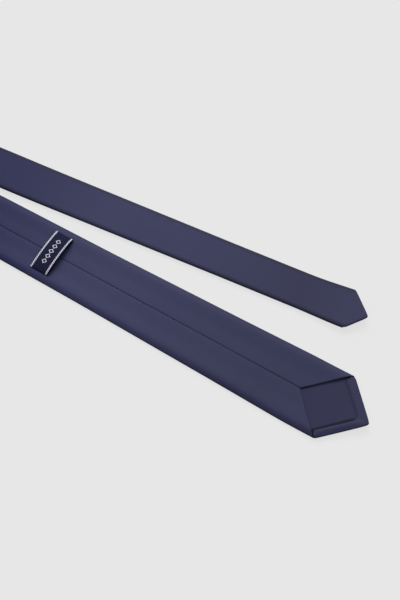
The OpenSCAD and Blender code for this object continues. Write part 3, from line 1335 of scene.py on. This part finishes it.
    def finish(
        self, name: str, half: Half, d: Array, off: Array, reach: Array, flat_d: Array, crease: Array
    ) -> bpy.types.Object:
        """Makes a piece of outer cloth from its rows.

        Args:
            name: The piece's name.
            half: The half of the tie.
            d: Distance of each point from the turn, as rows by columns.
            off: Distance of each point in from the outer surface.
            reach: Distance of each column from the middle of the flat cloth.
            flat_d: Distance of each point along the flat cloth.
            crease: Strength of the painted shade at each point.

        Returns:
            The finished piece.
        """
        points = self.lay(half, d, off)
        uv = np.stack([np.broadcast_to(reach, d.shape), flat_d], -1) * MM
        faces = grid_faces(d.shape[0], d.shape[1], flip=half is Half.NARROW)
        piece = make_object(name, points.reshape(-1, 3), faces, uv.reshape(-1, 2), crease)
        return thicken(piece, self.layout.cloth)


# ---------------------------------------------------------------- inner layers


@dataclass
class InnerLayers:
    """The interlining through the tie and the tipping that lines each point.

    Attributes:
        layout: The tie's layout.
        inset: How far the felt stays from the side edges.
        felt_low: Height of the felt over the face.
        felt_thick: Thickness of the felt.
        felt_gather: How much closer its rows lie towards the tip; 1 spreads them evenly.
        felt_rows: Number of its rows.
        turn_rows: Number of its rows round half the turn.
        point_gap: How far behind the tip the felt ends.
        shoulder_cut: How far its shoulders are cut back.
        shoulder_from: How far inside the shoulders the cut begins.
        shoulder_ramp: Width over which it gets its whole depth.
        lining_low: Height of the lining over the face.
        lining_thick: Thickness of the lining.
        lining_inset: How far it stays from the side edges.
        lining_depth: How far behind the tip it begins.
        lining_reach: How far behind the point's edge it ends.
        lining_rows: Number of its rows.
        lining_gather: How much closer its rows lie towards the tip.
        groove_at: How far behind the lining's edge the painted shade of the groove ends.
        groove_wide: Width over which that painted shade fades out.
        lower_groove: Strength of the painted shade along the lower side, where the hem stands up.
        upper_groove: Strength of the painted shade along the upper side.
        columns: Number of columns of a layer.
    """

    layout: TieLayout
    inset: float = 1.9
    felt_low: float = 0.5
    felt_thick: float = 1.4
    felt_gather: float = 1.2
    felt_rows: int = 70
    turn_rows: int = 13
    point_gap: float = 1.6
    shoulder_cut: float = 6.0
    shoulder_from: float = 12.0
    shoulder_ramp: float = 10.0
    lining_low: float = 2.05
    lining_thick: float = 0.25
    lining_inset: float = 2.0
    lining_depth: float = 130.0
    lining_reach: float = 5.0
    lining_rows: int = 44
    lining_gather: float = 2.2
    groove_at: float = 7.0
    groove_wide: float = 2.6
    lower_groove: float = 0.8
    upper_groove: float = 0.2
    columns: int = 17

    def strip(
        self,
        name: str,
        half: Half,
        heights: tuple[float, float],
        first: float,
        last: Callable[[Array], Array],
        rows: int,
        inset: float,
        gather: float,
        grooved: bool = False,
    ) -> bpy.types.Object:
        """Builds a closed flat layer inside the tie.

        Args:
            name: The piece's name.
            half: The half that it lies in.
            heights: Heights of its underside and its top over the face.
            first: Distance of its first row from the turn.
            last: Distance of its last row, from the distances across.
            rows: Number of rows.
            inset: How far it stays from the side edges.
            gather: How much closer its rows lie towards its last row; 1 spreads them evenly.
            grooved: Whether it has the painted shade of a groove along the turned-in cloth.

        Returns:
            The finished piece.
        """
        h = self.layout.tip_width(half) / 2 - inset
        spread = np.linspace(-1, 1, self.columns)
        end = np.broadcast_to(last(spread * h), spread.shape)
        d = np.array([first + (end - first) * (1 - (1 - u) ** gather) for u in np.linspace(0, 1, rows)])
        v = spread * (self.layout.half_width(half, d) - inset)
        # painted shade of a groove along the turned-in cloth; the lining itself lies flat
        crease = self.groove(end - d, v) if grooved else 0.0 * d
        lower, upper = (self.layout.place(half, d, v, np.full_like(d, n)) for n in heights)
        count = d.size
        points = np.concatenate([lower.reshape(-1, 3), upper.reshape(-1, 3)])
        flat = np.stack([v, d], -1).reshape(-1, 2) * MM
        faces = grid_faces(rows, self.columns, flip=half is Half.NARROW)
        faces += grid_faces(rows, self.columns, flip=half is Half.WIDE, first=count)
        rim = [i * self.columns for i in range(rows)]
        rim += [(rows - 1) * self.columns + j for j in range(1, self.columns)]
        rim += [i * self.columns + self.columns - 1 for i in range(rows - 2, -1, -1)]
        rim += list(range(self.columns - 2, 0, -1))
        for a, b in zip(rim, rim[1:] + rim[:1]):
            side = [a, b, b + count, a + count]
            faces.append(side if half is Half.WIDE else side[::-1])
        uvs, creases = np.concatenate([flat, flat]), np.concatenate([crease, crease])
        return make_object(name, points, faces, uvs, creases)

    def groove(self, behind: Array, v: Array) -> Array:
        """Strength of the painted shade of a groove along the turned-in cloth, at each point of the lining.

        Args:
            behind: Distances behind the lining's front edge.
            v: Distances across the blade.

        Returns:
            Strengths from 0 to 1, strongest along the lower side, where the turned-in cloth stands up.
        """
        depth = np.where(v < 0, self.lower_groove, self.upper_groove)
        return depth * (1 - ease((behind - self.groove_at) / self.groove_wide))

    @property
    def felt(self) -> tuple[float, float]:
        """Heights of the felt's underside and top."""
        return self.felt_low, self.felt_low + self.felt_thick

    def interlining(self, half: Half) -> bpy.types.Object:
        """Builds the felt of one half, pointed like the cloth round it.

        Args:
            half: The half of the tie.

        Returns:
            The finished piece.
        """
        tip, shoulder = self.layout.tip_at(half), self.layout.tip_width(half) / 2

        def pointed(v: Array) -> Array:
            """Distance of the felt's end from the turn; its shoulders are cut back.

            Args:
                v: Distances across from the centre line.

            Returns:
                A distance at each of them.
            """
            past = np.abs(v) - shoulder + self.shoulder_from
            return tip - np.abs(v) - self.point_gap - self.shoulder_cut * ease(past / self.shoulder_ramp)

        name = f"{half.name.lower()}_felt"
        return self.strip(name, half, self.felt, 0.0, pointed, self.felt_rows, self.inset, self.felt_gather)

    def turned_felt(self, half: Half) -> bpy.types.Object:
        """Builds the felt of one half of the turn.

        Args:
            half: The half of the tie.

        Returns:
            The finished piece.
        """
        return self.strip(
            f"{half.name.lower()}_turn_felt",
            half,
            self.felt,
            self.layout.crest,
            lambda v: 0.0 * v,
            self.turn_rows,
            self.inset,
            self.felt_gather,
        )

    def tipping(self, half: Half) -> bpy.types.Object:
        """Builds the lining of one point; its front edge runs under the turned-in cloth.

        Args:
            half: The half of the tie.

        Returns:
            The finished piece.
        """
        tip = self.layout.tip_at(half)
        return self.strip(
            f"{half.name.lower()}_lining",
            half,
            (self.lining_low, self.lining_low + self.lining_thick),
            tip - self.lining_depth,
            lambda v: tip - np.abs(v) - self.lining_reach,
            self.lining_rows,
            self.lining_inset,
            self.lining_gather,
            grooved=True,
        )


# ---------------------------------------------------------------- keeper loop


@dataclass
class Keeper:
    """The woven band across the wide blade's back, arched a little, with both ends turned under.

    Attributes:
        layout: The tie's layout.
        from_tip: Distance of the band's middle from the wide tip.
        width: Length of the band in view, across the blade.
        band: Width of the band, along the blade.
        thickness: Thickness of the band.
        clear: Gap between the band's ends and the blade's back.
        arch: Height of the arch over its ends.
        arch_power: How full the arch is; less is fuller.
        end_lift: Height of the turn at each end.
        tab: Length turned under at each end.
        tab_steps: Number of points along a tab.
        turn_step: Degrees from one point to the next round the turn at each end.
        span_steps: Number of points over the arch.
        band_steps: Number of points across the band.
        lean: How much higher the front edge stands, and how much lower the back edge.
        stitch_in: How far inside the end of a tab its stitches lie.
        stitch_reach: How far the row of stitches runs to each side of the middle.
        stitch_pitch: Distance from one stitch to the next.
        stitch_len: Length of a stitch.
        stitch_rise: Height of a stitch.
        stitch_points: Number of points along a stitch.
        stitch_r: Radius of the thread.
    """

    layout: TieLayout
    from_tip: float = 353.0
    width: float = 47.5
    band: float = 20.5
    thickness: float = 0.6
    clear: float = 0.05
    arch: float = 2.8
    arch_power: float = 0.8
    end_lift: float = 1.3
    tab: float = 10.0
    tab_steps: int = 7
    turn_step: int = 20
    span_steps: int = 41
    band_steps: int = 15
    lean: float = 0.7
    stitch_in: float = 2.0
    stitch_reach: float = 8.0
    stitch_pitch: float = 2.5
    stitch_len: float = 1.6
    stitch_rise: float = 0.28
    stitch_points: int = 7
    stitch_r: float = 0.14

    def centre_line(self) -> Array:
        """The band's middle as (across, height above the back), from one tab's end to the other's.

        Returns:
            Points from -y to +y, evenly spread.
        """
        r = (self.end_lift + self.thickness) / 2
        out = self.width / 2 - r - self.thickness / 2
        low = self.thickness / 2 + self.clear
        tab = np.array([[-out + self.tab * (1 - u), low] for u in np.linspace(0, 1, self.tab_steps)])
        turn = np.radians(range(self.turn_step, 181 - self.turn_step, self.turn_step))
        bend = np.array([[-out - r * math.sin(q), low + r * (1 - math.cos(q))] for q in turn])
        span = np.linspace(-out, out, self.span_steps)
        top = np.stack([span, low + 2 * r + self.arch * (1 - (span / out) ** 2) ** self.arch_power], -1)
        side = np.concatenate([tab, bend])
        return np.concatenate([side, top, side[::-1] * np.array([-1, 1])])

    def on_back(self, along: Array, across: Array, height: Array) -> Array:
        """Lays points on the wide blade's back.

        Args:
            along: Distances from the band's middle towards the tip.
            across: Distances across the blade.
            height: Heights above the back.

        Returns:
            Points in the frame, in millimetres.
        """
        d = self.layout.wide_len - self.from_tip + along
        return self.layout.place(Half.WIDE, d, across, self.layout.thickness + height)

    def loop(self) -> bpy.types.Object:
        """Builds the band. Its front edge stands a little higher than its back edge.

        Returns:
            The finished piece, whose faces say in the attribute "outer" whether they face out.
        """
        line = self.centre_line()
        reach = np.concatenate([[0], np.cumsum(np.linalg.norm(np.diff(line, axis=0), axis=1))])
        reach -= reach[-1] / 2
        along = np.linspace(-self.band / 2, self.band / 2, self.band_steps)
        lift = np.clip((line[:, 1] - self.end_lift) / self.arch, 0, 1)
        a, y = np.meshgrid(along, line[:, 0], indexing="ij")
        z = np.broadcast_to(line[:, 1], a.shape) + lift * (self.lean * a / (self.band / 2))
        points = self.on_back(a, y, z + self.thickness / 2)
        uv = np.stack([np.broadcast_to(reach, a.shape), a], -1) * MM
        faces = grid_faces(a.shape[0], a.shape[1], flip=True)
        piece = make_object("keeper_band", points.reshape(-1, 3), faces, uv.reshape(-1, 2))
        outer = len(piece.data.polygons)
        thicken(piece, self.thickness)
        sides = np.arange(len(piece.data.polygons)) < outer
        values = piece.data.attributes.new("outer", "FLOAT", "FACE").data
        values.foreach_set("value", sides.astype(np.float32))
        return piece

    def stitches(self) -> bpy.types.Object:
        """Builds the short stitches that hold the turned-under ends down.

        Returns:
            The stitches as one piece.
        """
        inner = self.width / 2 - self.tab + self.stitch_in
        u = np.linspace(0, 1, self.stitch_points)
        height = self.thickness + self.clear + self.stitch_rise * np.sin(math.pi * u)
        tubes = []
        for side in (-1, 1):
            for start in np.arange(-self.stitch_reach, self.stitch_reach, self.stitch_pitch):
                path = self.on_back(start + self.stitch_len * u, side * inner + 0 * u, height)
                tubes.append(tube(path, self.stitch_r))
        return join_tubes("keeper_end_stitches", tubes)


# ---------------------------------------------------------------- hand stitches


@dataclass
class HandSewing:
    """The threads that close and hold the tie.

    Attributes:
        layout: The tie's layout.
        section: The folded section of the outer cloth.
        slip_r: Radius of the slip stitch's thread.
        slip_from: Distance from the turn where the slip stitch begins.
        slip_step: Distance from one point of it to the next, and its gap to the bar tack.
        slip_pitch: Length of one stitch.
        slip_sway: How far it goes to and fro.
        slip_rise: How far it goes up and down.
        slip_under: How far it lies under the back.
        tack_from_flap: Distance of the bar tack from the point of the flaps.
        tack_half: Half the length of the bar tack.
        tack_step: Distance between its threads.
        tack_sink: How far its threads lie in the cloth.
        tack_dip: How far its ends dip into the cloth.
        tack_power: How short those ends are; more is shorter.
        tack_points: Number of points along a thread.
        tack_r: Radius of its threads.
        fell_from: Distance of the first lining stitch from the middle.
        fell_end: How far from the side the last one lies.
        fell_pitch: Distance from one to the next.
        fell_across: Length of a stitch across the blade.
        fell_back: Its length along the blade.
        fell_over: How far it begins in front of the hem's cut edge.
        fell_height: Height over the face.
        fell_rise: How far it arches.
        fell_points: Number of points along it.
        fell_sides: Number of sides of its thread.
        fell_r: Radius of its thread.
        seam_in: How far inside the cloth the bias seam's thread lies.
        seam_r: Radius of that thread.
    """

    layout: TieLayout
    section: Section
    slip_r: float = 0.15
    slip_from: float = 3.0
    slip_step: float = 1.5
    slip_pitch: float = 9.0
    slip_sway: float = 0.2
    slip_rise: float = 0.12
    slip_under: float = 1.55
    tack_from_flap: float = 9.0
    tack_half: float = 2.6
    tack_step: float = 0.24
    tack_sink: float = 0.05
    tack_dip: float = 0.5
    tack_power: int = 6
    tack_points: int = 9
    tack_r: float = 0.13
    fell_from: float = 1.5
    fell_end: float = 6.0
    fell_pitch: float = 3.2
    fell_across: float = 0.9
    fell_back: float = 1.2
    fell_over: float = 0.3
    fell_height: float = 2.38
    fell_rise: float = 0.12
    fell_points: int = 5
    fell_sides: int = 5
    fell_r: float = 0.09
    seam_in: float = 0.3
    seam_r: float = 0.12

    def tack_at(self, half: Half) -> float:
        """Distance of the bar tack from the turn."""
        return self.layout.tip_at(half) - self.layout.tip_width(half) - self.tack_from_flap

    def slip_stitch(self, half: Half) -> bpy.types.Object:
        """Builds the long loose stitch that draws the two flaps together along the back.

        Args:
            half: The half of the tie.

        Returns:
            The thread as one piece.
        """
        d = np.arange(self.slip_from, self.tack_at(half) - self.slip_step, self.slip_step)
        swing = d * 2 * math.pi / self.slip_pitch
        n = self.layout.thickness - self.slip_under + self.slip_rise * np.cos(swing)
        path = self.layout.place(half, d, self.slip_sway * np.sin(swing), n)
        return join_tubes(f"{half.name.lower()}_slip_stitch_thread", [tube(path, self.slip_r)])

    def tack(self, half: Half) -> bpy.types.Object:
        """Builds the bar tack: a few threads side by side across the flaps.

        Args:
            half: The half of the tie.

        Returns:
            The threads as one piece.
        """
        v = np.linspace(-self.tack_half, self.tack_half, self.tack_points)
        top = self.layout.thickness + self.section.crown * OuterCloth.tip_crown - self.tack_sink
        n = top - self.tack_dip * (np.abs(v) / self.tack_half) ** self.tack_power
        tubes = []
        for k in (-1, 0, 1):
            path = self.layout.place(half, self.tack_at(half) + self.tack_step * k + 0 * v, v, n)
            tubes.append(tube(path, self.tack_r))
        return join_tubes(f"{half.name.lower()}_tack_threads", tubes)

    def lining_stitches(self, half: Half) -> bpy.types.Object:
        """Builds the small slanted stitches that fell the lining to the turned-in cloth.

        Args:
            half: The half of the tie.

        Returns:
            The stitches as one piece.
        """
        tip, h = self.layout.tip_at(half), self.layout.tip_width(half) / 2
        u = np.linspace(0, 1, self.fell_points)
        n = self.fell_height + self.fell_rise * np.sin(math.pi * u)
        tubes = []
        for side in (-1, 1):
            for v in np.arange(self.fell_from, h - self.fell_end, self.fell_pitch):
                d = tip - v - OuterCloth.hem - self.fell_back * u + self.fell_over
                path = self.layout.place(half, d, side * (v + self.fell_across * u), n)
                tubes.append(tube(path, self.fell_r, self.fell_sides))
        return join_tubes(f"{half.name.lower()}_lining_stitches", tubes)

    def seam_thread(self, half: Half) -> bpy.types.Object:
        """Builds the thread inside a bias seam, all the way round the folded cloth.

        Args:
            half: The half of the tie.

        Returns:
            The thread as one piece.
        """
        lay = self.layout
        reach = self.section.developed(float(lay.half_width(half, np.array(lay.seam_at(half)))))
        d = lay.seam_at(half) - half.value * reach
        sections = self.section.whole(lay.half_width(half, d), np.zeros_like(d), np.zeros_like(d))
        own = np.arange(len(d))
        at = sections[own, own]
        v, n = at[:, 0] + at[:, 2] * self.seam_in, at[:, 1] + at[:, 3] * self.seam_in
        return join_tubes(f"{half.name.lower()}_seam_thread", [tube(lay.place(half, d, v, n), self.seam_r)])


# ---------------------------------------------------------------- assembly


@dataclass
class Necktie:
    """The whole tie: builds every piece and dresses it, and ties each piece but those of the turn to its
    body.

    Attributes:
        layout: The tie's layout.
        section: The folded section of the outer cloth.
        span_past_back: How far over the tie's back the stretch over the hinge is measured.
        wide_neck_rows: Number of rows along the wide half's straight part of the neck.
        narrow_neck_rows: Number of rows along the narrow half's.
        turn_rows: Number of rows round half the turn.
    """

    layout: TieLayout
    section: Section
    span_past_back: float = 0.1
    wide_neck_rows: int = 14
    narrow_neck_rows: int = 30
    turn_rows: int = 13

    def body(self, half: Half) -> str:
        """Name of a half's body."""
        return f"{half.name.lower()}_half"

    def report(self, piece: bpy.types.Object) -> None:
        """Logs a finished piece."""
        LOG.info("%s: %d faces", piece.name, len(piece.data.polygons))

    def hinge_span(self, half: Half) -> tuple[tuple[float, ...], tuple[float, ...]]:
        """Start and end of the stretch over a half's hinge.

        Both lie on the back of the cloth, where the turn is shortest, and in one plane across the hinge.

        Args:
            half: The half that the stretch leads to.

        Returns:
            The point next to the half and the point at the top of the turn, in metres.
        """
        back = np.array(self.layout.thickness + self.span_past_back)
        foot, crest = (
            self.layout.place(half, np.array(d), np.array(0.0), back) for d in (0.0, self.layout.crest)
        )
        crest[1] = foot[1]
        return tuple(foot * MM), tuple(crest * MM)

    def bend(self, piece: bpy.types.Object, half: Half) -> None:
        """Bakes a piece of the turn's transform into its mesh; the span over its hinge is worked out but not
        used.

        Args:
            piece: The piece.
            half: The half that it leads to.
        """
        foot, crest = self.hinge_span(half)
        if half is Half.WIDE:
            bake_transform(piece)
        else:
            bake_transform(piece)

    def declare_sheet(self, piece: bpy.types.Object) -> None:
        """Reads a piece's cloth coordinates; nothing is done with them.

        Args:
            piece: The piece.
        """
        layer = piece.data.uv_layers["UVMap"].data
        uv = np.zeros(len(layer) * 2, np.float32)
        layer.foreach_get("uv", uv)

    def cloth_pieces(self) -> None:
        """Builds and dresses the outer cloth."""
        outer = OuterCloth(self.layout, self.section)
        for half in Half:
            name = half.name.lower()
            rows = self.wide_neck_rows if half is Half.WIDE else self.narrow_neck_rows
            blade = outer.blade(half)
            side = outer.neck_rows(half, f"{name}_neck_cloth", None, None, rows)
            turn = outer.neck_rows(half, f"{name}_turn_cloth", self.layout.crest, 0.0, self.turn_rows)
            for piece in (blade, side, turn):
                dress(piece, SHELL_CLOTH.material())
                self.report(piece)
            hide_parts(f"{name}_blade_shell")
            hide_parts(f"neck_shell_{name}_side")
            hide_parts("neck_shell_fold")
            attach(blade, self.body(half))
            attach(side, self.body(half))
            self.bend(turn, half)
            for piece in (blade, side, turn):
                self.declare_sheet(piece)

    def inner_pieces(self) -> None:
        """Builds and dresses the interlining and the tipping."""
        inner = InnerLayers(self.layout)
        for half in Half:
            name = half.name.lower()
            felt, turn, lining = inner.interlining(half), inner.turned_felt(half), inner.tipping(half)
            for piece in (felt, turn):
                dress(piece, FELT.material())
            dress(lining, LINING.material())
            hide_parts(f"interlining_{name}")
            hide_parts("interlining_fold")
            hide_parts(f"{name}_tipping")
            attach(felt, self.body(half))
            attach(lining, self.body(half))
            self.bend(turn, half)
            for piece in (felt, turn, lining):
                self.declare_sheet(piece)
                self.report(piece)

    def sewn_pieces(self) -> None:
        """Builds and dresses the keeper and all the threads."""
        sewing = HandSewing(self.layout, self.section)
        keeper = Keeper(self.layout)
        band, ends = keeper.loop(), keeper.stitches()
        dress(band, RIBBON.material())
        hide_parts("keeper_loop")
        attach(band, "wide_half")
        self.declare_sheet(band)
        self.report(band)
        threads = {ends: ("keeper_stitches", "wide_half")}
        for half in Half:
            name, body = half.name.lower(), self.body(half)
            threads[sewing.slip_stitch(half)] = (f"{name}_slip_stitch", body)
            threads[sewing.tack(half)] = (f"{name}_bar_tack", body)
            threads[sewing.lining_stitches(half)] = (f"{name}_tipping_thread", body)
            threads[sewing.seam_thread(half)] = (f"{name}_bias_seam_thread", body)
        for piece, (node, body) in threads.items():
            dress(piece, THREAD.material())
            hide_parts(node)
            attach(piece, body)
            self.report(piece)

    def build(self) -> None:
        """Builds everything, in order."""
        self.cloth_pieces()
        self.inner_pieces()
        self.sewn_pieces()


# ---------------------------------------------------------------- studio


@dataclass
class Studio:
    """The pale table, the soft light and the camera.

    Attributes:
        layout: The tie's layout.
        floor_colour: Linear colour of the table.
        floor_glow: How much the table glows by itself, which keeps its shadows faint.
        floor_size: Length of the table's sides, in metres.
        floor_drop: How far the table lies under the tie, in millimetres.
        zenith: Strength of the light from straight above.
        horizon: Strength of the light from the sides.
        key_strength: Strength of the key light.
        key_angle: How broad the key light is, in degrees.
        key_way: The way that its light goes.
        lens: The camera's focal length, in millimetres.
        sensor: Width of its sensor, in millimetres.
        target: Where it looks, along and across the wide blade from its tip, in millimetres.
        away: Where it stands, along, across and above the target, in millimetres.
    """

    layout: TieLayout
    floor_colour: Colour = (0.09, 0.09, 0.09)
    floor_glow: float = 0.701
    floor_size: float = 12.0
    floor_drop: float = 0.05
    zenith: float = 0.72
    horizon: float = 0.06
    key_strength: float = 3.0
    key_angle: float = 35.0
    key_way: tuple[float, float, float] = (0.55, -0.80, -0.78)
    lens: float = 85.0
    sensor: float = 36.0
    target: tuple[float, float] = (-202.5, 33.0)
    away: tuple[float, float, float] = (331.9, -550.0, 1219.9)

    def floor(self) -> None:
        """Makes the table's top, just under the tie."""
        half = self.floor_size / 2 / MM
        sides = ((-half, -half), (half, -half), (half, half), (-half, half))
        corners = np.array([[x, y, -self.floor_drop] for x, y in sides])
        table = make_object("table_top", corners, [[0, 1, 2, 3]])
        material = bpy.data.materials.new("pale table")
        material.use_nodes = True
        shader = material.node_tree.nodes["Principled BSDF"]
        shader.inputs["Base Color"].default_value = (*self.floor_colour, 1)
        shader.inputs["Roughness"].default_value = 1.0
        shader.inputs["Specular IOR Level"].default_value = 0.0
        shader.inputs["Emission Color"].default_value = (1, 1, 1, 1)
        shader.inputs["Emission Strength"].default_value = self.floor_glow
        table.data.materials.append(material)

    def sky(self) -> None:
        """Lights the table evenly from above, and less from the sides."""
        world = bpy.data.worlds.new("studio")
        world.use_nodes = True
        bpy.context.scene.world = world
        background = world.node_tree.nodes["Background"]
        background.inputs["Color"].default_value = (1, 1, 1, 1)
        g = Graph(world.node_tree)
        way = g.node("ShaderNodeTexCoord").outputs["Generated"]
        up = g.math("MAXIMUM", g.node("ShaderNodeSeparateXYZ", {0: way}).outputs[2], 0.0)
        strength = g.math("MULTIPLY_ADD", up, self.zenith - self.horizon, self.horizon)
        g.link(strength, background, "Strength")

    def key(self) -> None:
        """Adds the broad soft key light, from behind the tie and to its left."""
        light = bpy.data.lights.new("key", "SUN")
        light.energy = self.key_strength
        light.angle = math.radians(self.key_angle)
        lamp = bpy.data.objects.new("key", light)
        lamp.rotation_mode = "QUATERNION"
        lamp.rotation_quaternion = Vector(self.key_way).to_track_quat("-Z", "Y")
        bpy.context.scene.collection.objects.link(lamp)

    def camera(self) -> None:
        """Sets the camera over the two tips. Its places are given along and across the wide blade."""
        tip = self.layout.place(Half.WIDE, np.array(self.layout.wide_len), np.array(0.0), np.array(0.0))
        angle = math.radians(-self.layout.tip_fan)
        along = np.array([math.cos(angle), math.sin(angle), 0])
        across = np.array([-math.sin(angle), math.cos(angle), 0])
        aim = np.array([tip[0], tip[1], 0]) + self.target[0] * along + self.target[1] * across
        eye = aim + self.away[0] * along + self.away[1] * across + np.array([0, 0, self.away[2]])
        data = bpy.data.cameras.new("camera")
        data.lens = self.lens
        data.sensor_width = self.sensor
        camera = bpy.data.objects.new("camera", data)
        camera.location = eye * MM
        camera.rotation_mode = "QUATERNION"
        camera.rotation_quaternion = Vector(aim - eye).to_track_quat("-Z", "Y")
        bpy.context.scene.collection.objects.link(camera)
        bpy.context.scene.camera = camera

    def build(self) -> None:
        """Builds the studio."""
        bpy.context.scene.view_settings.view_transform = "Standard"
        self.camera()
        self.floor()
        self.sky()
        self.key()


def main() -> None:
    """Builds the tie and the studio."""
    logging.basicConfig(level=logging.INFO, format="%(name)s: %(message)s")
    layout = TieLayout()
    Studio(layout).build()
    Necktie(layout, Section(layout)).build()


if __name__ == "__main__":
    main()
